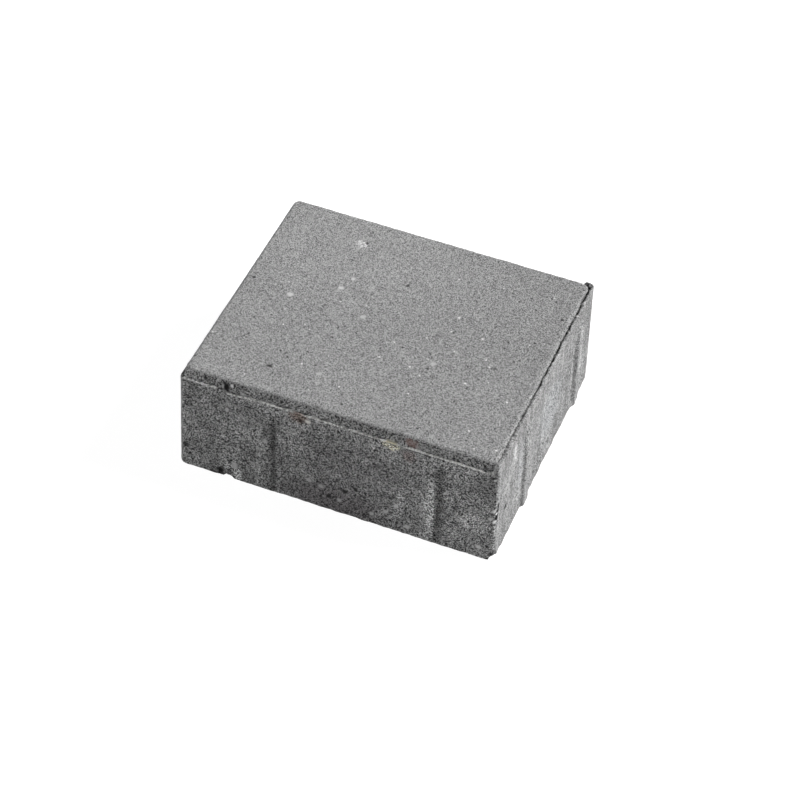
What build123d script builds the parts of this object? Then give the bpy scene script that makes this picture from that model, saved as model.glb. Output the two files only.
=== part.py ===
"""Concrete paving stone: one pressed block with a bevelled rim and spacer ribs on its four sides."""

import os
from math import atan2, degrees

from build123d import *

# Body, in millimetres
top_length = 204.0  # long side, measured at the rim before the bevel takes its share
top_width = 173.0  # short side, measured the same way
height = 80.0
base_spread = 1.5  # each side stands this much further out at the base than at the rim
corner_radius = 3.0  # upright corners, at the rim

# Rim of the walking surface
bevel_run = 2.3  # how far the bevel reaches in from the side
bevel_drop = 7.2  # how far the bevel reaches down from the walking surface
rim_round = 0.8  # worn arris between the walking surface and the bevel
plate_corner_radius = 4.5  # corners of the walking surface, rounder than the upright corners

# Spacer ribs, two on each side
rib_projection = 1.5
rib_base_width = 13.0
rib_crest_width = 7.0
rib_top_gap = 6.0  # plain side left between the bevel and the rib's upper end
rib_top_slope = 4.0  # height of the sloping upper end
rib_root = 3.0  # depth by which the rib is bedded in the body
long_side_left_offset = 57.0  # left corner to rib centre, seen from outside
long_side_right_offset = 40.3  # right corner to rib centre, seen from outside
short_side_left_offset = 53.0
short_side_right_offset = 26.0

side_height = height - bevel_drop
draft_angle = degrees(atan2(base_spread, height))
foot_spread = base_spread * bevel_drop / height  # lean left at the foot of the bevel
rib_top = side_height - rib_top_gap
rib_crest_top = rib_top - rib_top_slope


def side_reach(half_rim: float, level: float) -> float:
    """Distance from the upright centre line to a leaning side at the given level."""
    return half_rim + base_spread * (1 - level / height)


def rib_plan(crest_reach: float, root_reach: float) -> list[tuple[float, float]]:
    """Corners of a rib's plan: broad at the root, narrow at the crest, straight flanks between."""
    flank = (rib_base_width - rib_crest_width) / 2
    root_half = rib_base_width / 2 + flank * rib_root / rib_projection
    crest_half = rib_crest_width / 2
    return [
        (root_reach, -root_half),
        (crest_reach, -crest_half),
        (crest_reach, crest_half),
        (root_reach, root_half),
    ]


# Sides as seen from above: the direction each one faces, its distance from the centre,
# its length at the rim, and its rib offsets from the left and right corners seen from outside
long_side = (top_width / 2, top_length, long_side_left_offset, long_side_right_offset)
short_side = (top_length / 2, top_width, short_side_left_offset, short_side_right_offset)
sides = [(0, *short_side), (90, *long_side), (180, *short_side), (270, *long_side)]

# Levels at which a rib's plan is drawn, with how far its crest stands out there
rib_levels = [(0, rib_projection), (rib_crest_top, rib_projection), (rib_top, 0)]

with BuildPart() as paving_stone:
    # Block, leaning slightly inwards from the base to the foot of the bevel
    with BuildSketch():
        RectangleRounded(
            top_length + 2 * base_spread,
            top_width + 2 * base_spread,
            corner_radius + base_spread,
        )
    extrude(amount=side_height, taper=draft_angle)

    # Bevelled rim, from the outline at its foot to the rounder outline of the walking surface
    with BuildSketch(Plane.XY.offset(side_height)):
        RectangleRounded(
            top_length + 2 * foot_spread,
            top_width + 2 * foot_spread,
            corner_radius + foot_spread,
        )
    with BuildSketch(Plane.XY.offset(height)):
        RectangleRounded(
            top_length - 2 * bevel_run,
            top_width - 2 * bevel_run,
            plate_corner_radius,
        )
    loft(ruled=True)
    walking_surface = paving_stone.faces().sort_by(Axis.Z)[-1]
    fillet(walking_surface.edges(), radius=rim_round)

    # Spacer ribs, each rising from the base and sloping back into its side at the upper end
    for facing, half_rim, side_length, left_offset, right_offset in sides:
        outward = Vector(1, 0, 0).rotate(Axis.Z, facing)
        along = outward.rotate(Axis.Z, 90)
        for shift in (left_offset - side_length / 2, side_length / 2 - right_offset):
            for level, projection in rib_levels:
                reach = side_reach(half_rim, level)
                centre = along * shift + Vector(0, 0, level)
                with BuildSketch(Plane(origin=centre, x_dir=outward, z_dir=(0, 0, 1))):
                    Polygon(*rib_plan(reach + projection, reach - rib_root), align=None)
            loft(ruled=True)

paving_stone.part.label = "paving_stone"
os.makedirs("parts", exist_ok=True)
export_step(paving_stone.part, "parts/paving_stone.step")
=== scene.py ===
"""A pressed concrete paving stone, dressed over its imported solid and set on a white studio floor."""

import logging
import math
from dataclasses import dataclass, field
from enum import Enum

import bpy
import numpy as np
from mathutils import Matrix, Vector, noise


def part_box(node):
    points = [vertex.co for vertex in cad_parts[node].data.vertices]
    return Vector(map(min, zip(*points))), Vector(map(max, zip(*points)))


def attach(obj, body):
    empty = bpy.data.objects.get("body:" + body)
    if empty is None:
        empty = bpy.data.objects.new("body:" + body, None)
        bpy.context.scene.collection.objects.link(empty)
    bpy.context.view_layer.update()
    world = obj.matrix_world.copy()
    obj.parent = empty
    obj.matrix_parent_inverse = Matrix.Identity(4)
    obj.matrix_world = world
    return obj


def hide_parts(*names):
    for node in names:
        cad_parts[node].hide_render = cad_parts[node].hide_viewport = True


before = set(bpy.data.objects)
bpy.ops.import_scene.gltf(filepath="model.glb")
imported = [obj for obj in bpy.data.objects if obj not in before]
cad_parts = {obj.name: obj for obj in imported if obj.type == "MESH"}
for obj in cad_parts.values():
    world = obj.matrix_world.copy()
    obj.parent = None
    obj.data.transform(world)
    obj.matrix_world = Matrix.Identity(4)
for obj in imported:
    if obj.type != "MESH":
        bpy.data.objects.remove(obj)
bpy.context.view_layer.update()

LOG = logging.getLogger("paving_stone")
MM = 0.001
NODE = "paving_stone"
WIDE_SPOT = 2.7  # millimetres; a spot with a smaller reach is a single grain or pit
LUMP_MARGIN = 1.4  # how far the lumps of a broken surface can reach, as a share of its radius
Triple = tuple[float, float, float]
Socket = bpy.types.NodeSocket
Tree = bpy.types.NodeTree
Material = bpy.types.Material


class Side(Enum):
    """The four upright sides, by the direction they face in degrees from +X."""

    RIGHT = 0
    BACK = 90
    LEFT = 180
    FRONT = 270


class Zone(Enum):
    """Parts of the stone's skin that were formed differently in the press."""

    SIDE = 0
    LIP = 1
    BEVEL = 2
    WALKING = 3
    BEDDING = 4
    DRAGGED = 5
    REAR = 6


@dataclass(frozen=True)
class Column:
    """One upright line of points on the outline, in millimetres.

    Attributes:
        x, y: The point where the line crosses the rim's outline.
        nx, ny: The outward direction there.
        px, py: The point that belongs to it on the edge of the walking surface.
        mx, my: The outward direction of that edge.
        side: The side that the line stands on; a corner belongs to the side before it.
        along: Distance from the side's middle, counted to the right as seen from outside.
        straight: Whether the line stands on a straight run and not in a rounded corner.
    """

    x: float
    y: float
    nx: float
    ny: float
    px: float
    py: float
    mx: float
    my: float
    side: Side
    along: float
    straight: bool

    def place(self, out: float, run: float) -> tuple[float, float]:
        """Plan of the point that lies a given distance outwards from the rim's outline.

        Args:
            out: The distance, negative towards the middle of the stone.
            run: Distance from the rim's outline in to the edge of the walking surface.

        Returns:
            The point's x and y.
        """
        if out >= 0.0:
            return self.x + self.nx * out, self.y + self.ny * out
        if out < -run:
            return self.px + self.mx * (out + run), self.py + self.my * (out + run)
        share = -out / run
        return self.x + (self.px - self.x) * share, self.y + (self.py - self.y) * share


@dataclass(frozen=True)
class Bite:
    """A broken-out hollow, shaped as the part of a lumpy ball that reaches into the stone.

    Attributes:
        centre: Middle of the ball, in millimetres.
        radius: Radius of the ball.
        inward: Direction in which the broken surface recedes.
        lumps, lump_sizes: Depth of the lumps on the broken surface, and size of the broad and fine ones.
        fine_share: Depth of the fine lumps beside the broad ones.
    """

    centre: Triple
    radius: float
    inward: Triple
    lumps: float = 0.7
    lump_sizes: tuple[float, float] = (4.0, 1.8)
    fine_share: float = 0.6

    def reach(self, x: float, y: float, z: float) -> float:
        """Radius of the ball towards a point, lumps included."""
        broad, fine = (wander(x, y, z, size, self.radius) for size in self.lump_sizes)
        return self.radius + self.lumps * (broad + self.fine_share * fine)


@dataclass(frozen=True)
class Grit:
    """Depths of the sand grain and of the open pores on a part of the skin, in millimetres."""

    grain: float
    pore: float


FOOT_GRIT = Grit(0.35, 0.0)
SIDE_GRIT = Grit(0.2, 0.9)
BURR_GRIT = Grit(0.08, 0.0)
BEVEL_GRIT = Grit(0.45, 0.3)
ARRIS_GRIT = Grit(0.8, 0.5)
WALKING_GRIT = Grit(0.18, 0.3)
BEDDING_GRIT = Grit(0.5, 0.9)


@dataclass(frozen=True)
class Waver:
    """An uneven run round the stone.

    Attributes:
        depth: How far it swings to either side.
        size: Length of its lumps, in millimetres.
        shift: Offset of its pattern.
    """

    depth: float
    size: float
    shift: float

    def at(self, column: Column, level: float = 0.0) -> float:
        """The swing at a level of an upright line."""
        return self.depth * wander(column.x, column.y, level, self.size, self.shift)


RIB_SWAY = Waver(0.5, 22.0, 3.1)
RIB_TOP = Waver(1.2, 9.0, 5.7)
RIB_WEAR = Waver(0.22, 7.0, 8.4)
LOW_BURR = (Waver(0.3, 6.0, 1.7), Waver(0.15, 2.3, 4.2))
TALL_BURR = (Waver(0.7, 14.0, 2.2), Waver(0.7, 3.4, 9.1))
GAP_BEADS = Waver(2.4, 2.8, 4.4)
LIP_WIDTH = (Waver(0.5, 6.0, 7.7), Waver(0.6, 2.6, 3.3))
LIP_BEADS = Waver(3.4, 3.2, 2.9)
FOOT_EDGE = Waver(0.5, 5.0, 6.6)
ARRIS_DIP = (Waver(0.3, 18.0, 3.9), Waver(0.3, 5.0, 6.1))

# Loops round the worn foot: level, and how far the loop is tucked in
FOOT_LOOPS = ((0.0, 0.9), (0.25, 0.35), (0.9, 0.0))
# Loops over the burr: share of its width, share of its height where it stands and where it slants
BURR_LOOPS = (
    (0.01, 0.55, 0.05, Zone.SIDE),
    (0.02, 0.96, 0.15, Zone.LIP),
    (0.32, 1.0, 0.6, Zone.LIP),
    (0.7, 1.0, 1.0, Zone.LIP),
    (0.96, 0.96, 0.96, Zone.BEVEL),
    (0.98, 0.5, 0.5, Zone.BEVEL),
)
# Loops up the bevel, by the share of the way
BEVEL_LOOPS = (0.0, 0.14, 0.3, 0.47, 0.64, 0.82, 1.0)
# Loops round the arris, by the turn in degrees
ARRIS_LOOPS = ((20.0, Zone.BEVEL), *((turn, Zone.WALKING) for turn in (38.0, 56.0, 74.0, 90.0)))
# Loops on the walking surface, by the share of the way from the arris to the grid
WALKING_LOOPS = (0.34, 0.67)


@dataclass(frozen=True)
class Mark:
    """A spot of another tint on the skin.

    Attributes:
        place: Middle of the spot, in millimetres.
        reach: Half-width of the spot along each axis.
        tint: Linear colour at the middle of the spot.
        cover: How far the tint replaces the concrete's own colour.
        ragged: How far the spot's outline wanders, as a share of its reach.
    """

    place: Triple
    reach: Triple
    tint: Triple
    cover: float
    ragged: float = 0.5

    def lay(
        self, wires: "Wiring", groups: "ShaderGroups", place: Socket, sand: Socket, colour: Socket
    ) -> Socket:
        """Lay the spot over a colour; sand shows in it unless it is a single grain or pit.

        Args:
            wires: Wiring of the material.
            groups: The shared effects.
            place: Socket with the place, in millimetres.
            sand: Socket with the sand's shade.
            colour: Socket with the colour so far.

        Returns:
            Socket with the new colour.
        """
        shape = {"Centre": self.place, "Reach": self.reach, "Ragged": self.ragged}
        mask = wires.effect(groups.spot, Place=place, **shape)["Mask"]
        wide = min(self.reach) >= WIDE_SPOT
        tint = wires.vector("SCALE", self.tint, sand) if wide else self.tint
        return wires.blend(mask, self.cover, colour, tint)


@dataclass(frozen=True)
class Speck:
    """A kind of single grain or pore that lies scattered in the skin.

    Attributes:
        spacing: Distance from one to the next, in millimetres.
        largest: Radius of the largest, as a share of the spacing.
        brightness: Brightness beside the concrete's own.
        cover: How far it replaces the concrete's own colour.
        shift: Offset of the pattern, in millimetres.
    """

    spacing: float
    largest: float
    brightness: float
    cover: float
    shift: Triple = (0.0, 0.0, 0.0)

    def scatter(
        self,
        wires: "Wiring",
        groups: "ShaderGroups",
        place: Socket,
        share: float,
        tone: Triple,
        colour: Socket,
    ) -> Socket:
        """Scatter the specks over a colour.

        Args:
            wires: Wiring of the material.
            groups: The shared effects.
            place: Socket with the place, in millimetres.
            share: Share of the places that hold a speck.
            tone: The concrete's own colour.
            colour: Socket with the colour so far.

        Returns:
            Socket with the new colour.
        """
        moved = wires.vector("ADD", place, self.shift)
        sizes = {"Spacing": self.spacing, "Share": share, "Largest": self.largest}
        mask = wires.effect(groups.specks, Place=moved, **sizes)["Mask"]
        tint = tuple(min(1.0, part * self.brightness) for part in tone)
        return wires.blend(mask, self.cover, colour, tint)


PALE_GRAINS = Speck(4.0, 0.25, 2.9, 0.8)
DARK_PORES = Speck(3.0, 0.32, 0.08, 0.88, (31.0, 17.0, 53.0))


def ramp(value: float, low: float, high: float) -> float:
    """Smooth step of a value from 0 at low to 1 at high."""
    share = min(max((value - low) / (high - low), 0.0), 1.0)
    return share * share * (3.0 - 2.0 * share)


def wander(x: float, y: float, z: float, size: float, shift: float = 0.0) -> float:
    """Smooth noise between about -1 and 1 whose lumps measure about size millimetres."""
    return noise.noise(Vector((x / size + shift, y / size - shift, z / size + 0.5 * shift)))


def grey(level: float) -> Triple:
    """A neutral linear colour."""
    return level, level, level


class Wiring:
    """Short calls for placing and joining the nodes of one tree."""

    def __init__(self, tree: Tree) -> None:
        """Keep the tree that the nodes go into."""
        self.tree = tree

    @classmethod
    def bare(cls, owner: Material | bpy.types.World) -> "Wiring":
        """Start on the emptied tree of a new material or world."""
        owner.use_nodes = True
        owner.node_tree.nodes.clear()
        return cls(owner.node_tree)

    def add(self, kind: str, **settings: object) -> bpy.types.Node:
        """Place a node.

        Args:
            kind: The node's type name.
            settings: Properties of the node, set as they are named.

        Returns:
            The new node.
        """
        node = self.tree.nodes.new(kind)
        for name, value in settings.items():
            setattr(node, name, value)
        return node

    def join(self, source: Socket, target: Socket) -> None:
        """Link an output socket to an input socket."""
        self.tree.links.new(source, target)

    def feed(self, target: Socket, value: object) -> None:
        """Give an input either a link, if the value is a socket, or a plain value."""
        if isinstance(value, Socket):
            self.join(value, target)
        else:
            target.default_value = value

    def math(self, operation: str, *values: object, clamp: bool = False) -> Socket:
        """Place a math node on the given sockets or numbers and return its result."""
        node = self.add("ShaderNodeMath", operation=operation, use_clamp=clamp)
        for index, value in enumerate(values):
            self.feed(node.inputs[index], value)
        return node.outputs[0]

    def vector(self, operation: str, *values: object) -> Socket:
        """Place a vector math node and return its vector, or its length where that is asked."""
        node = self.add("ShaderNodeVectorMath", operation=operation)
        slots = [node.inputs[0], node.inputs[3]] if operation == "SCALE" else list(node.inputs)
        for slot, value in zip(slots, values):
            self.feed(slot, value)
        return node.outputs["Value"] if operation == "LENGTH" else node.outputs["Vector"]

    def fit(self, value: object, *limits: float, smooth: bool = False) -> Socket:
        """Map a value from one pair of limits to another and return the result."""
        node = self.add("ShaderNodeMapRange", interpolation_type="SMOOTHSTEP" if smooth else "LINEAR")
        self.feed(node.inputs["Value"], value)
        for name, limit in zip(("From Min", "From Max", "To Min", "To Max"), limits):
            self.feed(node.inputs[name], limit)
        return node.outputs["Result"]

    def noise(self, place: Socket, size: float | Socket, detail: float, rough: float) -> Socket:
        """Place a noise texture with lumps of the given size and return its value.

        Args:
            place: Socket with the place, in millimetres.
            size: Size of the lumps, in millimetres, as a number or a socket.
            detail: How many finer layers are added.
            rough: Strength of each finer layer beside the one before.

        Returns:
            The noise value socket, centred on 0.
        """
        node = self.add("ShaderNodeTexNoise", noise_dimensions="3D")
        self.feed(node.inputs["Vector"], place)
        self.feed(node.inputs["Scale"], self.math("DIVIDE", 1.0, size))
        node.inputs["Detail"].default_value = detail
        node.inputs["Roughness"].default_value = rough
        return self.math("SUBTRACT", node.outputs[0], 0.5)

    def cells(self, place: Socket, size: Socket) -> tuple[Socket, bpy.types.NodeOutputs]:
        """Place a pattern of cells and return the distance to a cell's middle and its random values."""
        node = self.add("ShaderNodeTexVoronoi", feature="F1")
        self.feed(node.inputs["Vector"], place)
        self.feed(node.inputs["Scale"], self.math("DIVIDE", 1.0, size))
        lottery = self.add("ShaderNodeSeparateXYZ")
        self.join(node.outputs["Color"], lottery.inputs[0])
        return node.outputs["Distance"], lottery.outputs

    def effect(self, group: Tree, **values: object) -> bpy.types.NodeOutputs:
        """Place a shared effect with its own values and return its outputs."""
        node = self.add("ShaderNodeGroup", node_tree=group)
        for name, value in values.items():
            self.feed(node.inputs[name], value)
        return node.outputs

    def blend(self, mask: Socket, cover: float, under: Socket, over: Triple | Socket) -> Socket:
        """Lay a colour over another by a mask and a cover and return the result."""
        node = self.add("ShaderNodeMix", data_type="RGBA")
        self.feed(node.inputs["Factor"], self.math("MULTIPLY", mask, cover))
        self.feed(node.inputs["A"], under)
        self.feed(node.inputs["B"], (*over, 1.0) if isinstance(over, tuple) else over)
        return node.outputs["Result"]


@dataclass
class SkinRelief:
    """Geometry tree that roughens the pressed skin: sand grain, waves and open pores.

    Attributes:
        grain_size, wave_size, pore_size: Sizes of the three kinds of relief, in millimetres.
        wave_depth: Depth of the broad waves, in millimetres.
        pore_share: Share of the pore cells that are open.
        seed: Fixed offset of the pattern.
        pore_reach: Radius of the smallest and the largest pore, as a share of the pore size.
    """

    grain_size: float = 2.6
    wave_size: float = 26.0
    wave_depth: float = 0.16
    pore_size: float = 5.5
    pore_share: float = 0.2
    seed: float = 7.3
    pore_reach: tuple[float, float] = (0.12, 0.34)

    def sizes(self) -> dict[str, float]:
        """The values of the tree's named inputs."""
        return {
            "Grain Size": self.grain_size,
            "Wave Size": self.wave_size,
            "Wave Depth": self.wave_depth,
            "Pore Size": self.pore_size,
            "Pore Share": self.pore_share,
            "Seed": self.seed,
        }

    def tree(self, finishes: dict[Zone, Material]) -> bpy.types.GeometryNodeTree:
        """Build the tree.

        Args:
            finishes: Material of each zone of the skin.

        Returns:
            The geometry tree, with its sizes as named inputs.
        """
        group = bpy.data.node_groups.new("skin_relief", "GeometryNodeTree")
        face = group.interface
        face.new_socket("Geometry", in_out="INPUT", socket_type="NodeSocketGeometry")
        for name in self.sizes():
            face.new_socket(name, in_out="INPUT", socket_type="NodeSocketFloat")
        face.new_socket("Geometry", in_out="OUTPUT", socket_type="NodeSocketGeometry")
        wires = Wiring(group)
        given = wires.add("NodeGroupInput").outputs
        laid = wires.add("GeometryNodeInputPosition").outputs[0]
        place = wires.vector("SCALE", laid, 1.0 / MM)
        shift = wires.add("ShaderNodeCombineXYZ")
        wires.join(given["Seed"], shift.inputs[0])
        wires.join(given["Seed"], shift.inputs[2])
        place = wires.vector("ADD", place, shift.outputs[0])
        grain = wires.noise(place, given["Grain Size"], detail=3.0, rough=0.6)
        wave = wires.noise(place, given["Wave Size"], detail=2.0, rough=0.5)
        distance, lottery = wires.cells(place, given["Pore Size"])
        opened = wires.math("LESS_THAN", lottery[0], given["Pore Share"])
        hollow = wires.math("DIVIDE", distance, wires.fit(lottery[1], 0.0, 1.0, *self.pore_reach))
        hollow = wires.math("MULTIPLY", wires.fit(hollow, 1.0, 0.2, 0.0, 1.0, smooth=True), opened)
        height = wires.math("MULTIPLY", grain, self.stored(wires, "grain_depth"))
        height = wires.math("ADD", height, wires.math("MULTIPLY", wave, given["Wave Depth"]))
        sunk = wires.math("MULTIPLY", hollow, self.stored(wires, "pore_depth"))
        height = wires.math("MULTIPLY", wires.math("SUBTRACT", height, sunk), MM)
        normal = wires.add("GeometryNodeInputNormal").outputs[0]
        raised = wires.vector("ADD", laid, wires.vector("SCALE", normal, height))
        moved = wires.add("GeometryNodeSetPosition")
        wires.join(given["Geometry"], moved.inputs["Geometry"])
        lowest = (-1.0, -1.0, 0.0)  # metres; nothing sinks below the bedding face
        wires.join(wires.vector("MAXIMUM", raised, lowest), moved.inputs["Position"])
        real = wires.add("GeometryNodeRealizeInstances")
        wires.join(moved.outputs[0], real.inputs[0])
        stream = real.outputs[0]
        for zone, material in finishes.items():
            paint = wires.add("GeometryNodeSetMaterial")
            paint.inputs["Material"].default_value = material
            chosen = wires.math("COMPARE", self.stored(wires, "zone"), float(zone.value), 0.25)
            wires.join(stream, paint.inputs["Geometry"])
            wires.join(chosen, paint.inputs["Selection"])
            stream = paint.outputs[0]
        wires.join(stream, wires.add("NodeGroupOutput").inputs[0])
        return group

    @staticmethod
    def stored(wires: Wiring, name: str) -> Socket:
        """Read a number that is stored on the mesh."""
        node = wires.add("GeometryNodeInputNamedAttribute", data_type="FLOAT")
        node.inputs["Name"].default_value = name
        return node.outputs["Attribute"]

    def apply(self, body: bpy.types.Object, finishes: dict[Zone, Material]) -> None:
        """Roughen the body's mesh in place and give each zone its material.

        Args:
            body: The stone, with its depths and zones stored on its mesh.
            finishes: Material of each zone.
        """
        group = self.tree(finishes)
        modifier = body.modifiers.new("skin_relief", "NODES")
        modifier.node_group = group
        sizes = self.sizes()
        for socket in group.interface.items_tree:
            if socket.in_out == "INPUT" and socket.name in sizes:
                modifier[socket.identifier] = sizes[socket.name]
        shown = body.evaluated_get(bpy.context.evaluated_depsgraph_get())
        body.data = bpy.data.meshes.new_from_object(shown)
        body.modifiers.remove(modifier)


@dataclass
class StoneBody:
    """The stone's mesh: sides with spacer ribs, bevelled rim with its burr, and both faces.

    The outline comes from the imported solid's box; the section sizes are those of the solid, apart from
    the arris, which is worn rounder. All sizes are in millimetres, and the start, turn, foot and end
    pairs say where a change begins and where it is complete.

    Attributes:
        base_spread: How much further out the sides stand at the base than at the rim.
        corner_radius, plate_corner_radius: Corners of the sides and of the walking surface.
        bevel_run, bevel_drop, arris: The bevel, and the radius of its worn upper edge.
        rib_projection, rib_base_width, rib_crest_width, rib_top_gap, rib_top_slope: The ribs.
        rib_offsets: Distances of the ribs from the left and right corners, for a long side or not.
        rib_foot: Levels at the foot of the front ribs, which are worn there.
        low_burr, front_burr, least_burr: Low burr, what the front adds to it, and the least of it.
        front_turn: How far a column has to face the front to have the front's burr.
        tall_burr, tallest_burr: Tall burr on the right, and the most of it.
        right_start, wedge_start: The tall burr's start, counted from the right end, and in the back.
        packed_start, packed_share: Where the gap behind it is packed, counted to the front, and how far.
        bevel_step, least_bevel: Step at the foot of the bevel, and the least height of the bevel.
        lip_width, lip_shares, widest_lip: The lip, its least and its mean share, and the most of it.
        lip_beads, front_lip, lip_start: What beads and the front add to the right lip, and from where.
        lip_sag, sag_start, sag_end: How far the front lip sags beside its break, and where along X.
        foot_height, plain_side: Height of the ragged foot, and level of the first plain loop.
        spacing, corner_steps: Distance from point to point, and steps round a corner.
        bites: The broken-out hollows.
    """

    base_spread: float = 1.5
    corner_radius: float = 3.0
    plate_corner_radius: float = 4.5
    bevel_run: float = 2.3
    bevel_drop: float = 7.2
    arris: float = 2.4
    rib_projection: float = 1.5
    rib_base_width: float = 13.0
    rib_crest_width: float = 7.0
    rib_top_gap: float = 6.0
    rib_top_slope: float = 4.0
    rib_offsets: dict[bool, tuple[float, float]] = field(
        default_factory=lambda: {True: (57.0, 40.3), False: (53.0, 26.0)}
    )
    rib_foot: tuple[float, float] = (-1.0, 5.0)
    low_burr: float = 0.22
    front_burr: float = 0.4
    least_burr: float = 0.05
    front_turn: tuple[float, float] = (0.3, 0.9)
    tall_burr: float = 6.2
    tallest_burr: float = 6.9
    right_start: tuple[float, float] = (-3.0, -0.4)
    wedge_start: tuple[float, float] = (-10.0, -5.0)
    packed_start: tuple[float, float] = (5.0, 55.0)
    packed_share: float = 0.97
    bevel_step: float = 0.04
    least_bevel: float = 0.1
    lip_width: float = 1.35
    lip_shares: tuple[float, float] = (0.3, 0.9)
    widest_lip: float = 2.2
    lip_beads: float = 0.272
    front_lip: float = 1.1
    lip_start: tuple[float, float] = (-8.65, 51.9)
    lip_sag: float = 1.8
    sag_start: tuple[float, float] = (-73.0, -71.0)
    sag_end: tuple[float, float] = (-70.0, -44.0)
    foot_height: float = 6.0
    plain_side: float = 2.0
    spacing: float = 1.2
    corner_steps: int = 10
    bites: tuple[Bite, ...] = ()

    def __post_init__(self) -> None:
        """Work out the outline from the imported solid's box."""
        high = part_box(NODE)[1]
        spare = self.rib_projection + self.base_spread
        self.half_length = high[0] / MM - spare
        self.half_width = high[1] / MM - spare
        self.height = high[2] / MM
        self.side_top = self.height - self.bevel_drop
        self.corner_reach = self.bevel_run + self.plate_corner_radius
        self.points: list[Triple] = []
        self.grits: list[Grit] = []
        self.faces: list[tuple[int, ...]] = []
        self.face_zone: list[int] = []
        self.columns = self.outline()

    def half_side(self, side: Side) -> float:
        """Half of a side's length at the rim."""
        return self.half_length if side in (Side.FRONT, Side.BACK) else self.half_width

    def steps(self, side: Side) -> int:
        """How many equal steps a side's straight run is cut into."""
        return round(2 * (self.half_side(side) - self.corner_reach) / self.spacing)

    def corner_point(self, share: float) -> Triple:
        """Walk along the outline round a corner, from one straight run to the next.

        Args:
            share: How much of the way is done.

        Returns:
            Distance gained along the side, distance lost across it, and the turn in radians.
        """
        radius = self.corner_radius
        straight, bend = self.corner_reach - radius, radius * math.pi / 2
        way = share * (2 * straight + bend)
        if way <= straight:
            return way, 0.0, 0.0
        if way >= straight + bend:
            return self.corner_reach, radius + way - straight - bend, math.pi / 2
        turn = (way - straight) / radius
        return straight + radius * math.sin(turn), radius * (1.0 - math.cos(turn)), turn

    def outline(self) -> list[Column]:
        """Walk round the rim, left to right on each side as seen from outside.

        Returns:
            The upright lines in order, starting at the left end of the front.
        """
        found = []
        for side in (Side.FRONT, Side.RIGHT, Side.BACK, Side.LEFT):
            facing = math.radians(side.value)
            nx, ny = math.cos(facing), math.sin(facing)
            across = self.half_width if side in (Side.FRONT, Side.BACK) else self.half_length
            run = self.half_side(side) - self.corner_reach
            count = self.steps(side)
            for step in range(count + 1):
                along = -run + 2 * run * step / count
                x, y = nx * across - ny * along, ny * across + nx * along
                px, py = x - nx * self.bevel_run, y - ny * self.bevel_run
                found.append(Column(x, y, nx, ny, px, py, nx, ny, side, along, True))
            inset = across - self.corner_reach
            cx, cy = nx * inset - ny * run, ny * inset + nx * run
            for step in range(1, self.corner_steps):
                share = step / self.corner_steps
                gained, lost, bend = self.corner_point(share)
                along, reach = run + gained, across - lost
                x, y = nx * reach - ny * along, ny * reach + nx * along
                ox, oy = math.cos(facing + bend), math.sin(facing + bend)
                turn = facing + math.pi / 2 * share
                mx, my = math.cos(turn), math.sin(turn)
                px, py = cx + mx * self.plate_corner_radius, cy + my * self.plate_corner_radius
                found.append(Column(x, y, ox, oy, px, py, mx, my, side, along, False))
        return found

    def lean(self, level: float) -> float:
        """How far a side stands out from the rim's outline at a level."""
        return self.base_spread * (1.0 - level / self.height)

    def rib(self, column: Column, level: float) -> float:
        """How far a spacer rib stands out of its side at a point.

        Args:
            column: The upright line.
            level: Height above the bedding face.

        Returns:
            The projection, 0 between the ribs.
        """
        if not column.straight:
            return 0.0
        half = self.half_side(column.side)
        left, right = self.rib_offsets[column.side in (Side.FRONT, Side.BACK)]
        sway = RIB_SWAY.at(column, level)
        nearest = min(abs(column.along - c - sway) for c in (left - half, half - right))
        crest, base = self.rib_crest_width / 2, self.rib_base_width / 2
        flank = ramp(base - nearest, 0.0, base - crest)
        top = self.side_top - self.rib_top_gap + RIB_TOP.at(column)
        upper = ramp(top - level, 0.0, self.rib_top_slope)
        worn = 1.0 - max(0.0, RIB_WEAR.at(column, level))
        foot = ramp(level, *self.rib_foot) if column.side is Side.FRONT else 1.0
        return self.rib_projection * flank * upper * worn * foot

    def burr(self, column: Column) -> float:
        """Height of the pressed-up burr above the foot of the bevel.

        Args:
            column: The upright line.

        Returns:
            The height: tall on the right, where the press stood off, and low elsewhere.
        """
        low = self.low_burr + sum(part.at(column) for part in LOW_BURR)
        low += self.front_burr * ramp(-column.ny, *self.front_turn)
        tall = self.tall_burr + sum(part.at(column) for part in TALL_BURR)
        tall = min(tall, self.tallest_burr)
        return max(self.least_burr, low + (tall - low) * self.stands(column))

    def right(self, column: Column) -> float:
        """1 on the right side and 0 elsewhere, with a soft change in the corners."""
        return ramp(column.x - self.half_length, *self.right_start)

    def stands(self, column: Column) -> float:
        """1 where the press stood off, on the right and round its back corner, and 0 elsewhere."""
        if column.y <= 0.0:
            return self.right(column)
        return max(self.right(column), ramp(column.x - self.half_length, *self.wedge_start))

    def filled(self, column: Column) -> float:
        """How much of the gap behind the tall burr is packed with concrete, from 0 to 1."""
        front = ramp(-column.y, *self.packed_start)
        return self.right(column) * min(1.0, front + max(0.0, GAP_BEADS.at(column)))

    def lip(self, column: Column) -> float:
        """Width of the lip or burr, which all but closes on the bevel here and there."""
        least, mean = self.lip_shares
        even = self.lip_width * max(least, mean + sum(part.at(column) for part in LIP_WIDTH))
        front = ramp(-column.y, *self.lip_start)
        beads = max(0.0, LIP_BEADS.at(column) + self.lip_beads) + self.front_lip * front
        return min(even + self.right(column) * beads, self.widest_lip)

    def put(self, x: float, y: float, z: float, grit: Grit) -> int:
        """Add a point with its relief depths and return its number."""
        self.points.append((x, y, z))
        self.grits.append(grit)
        return len(self.points) - 1

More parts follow.
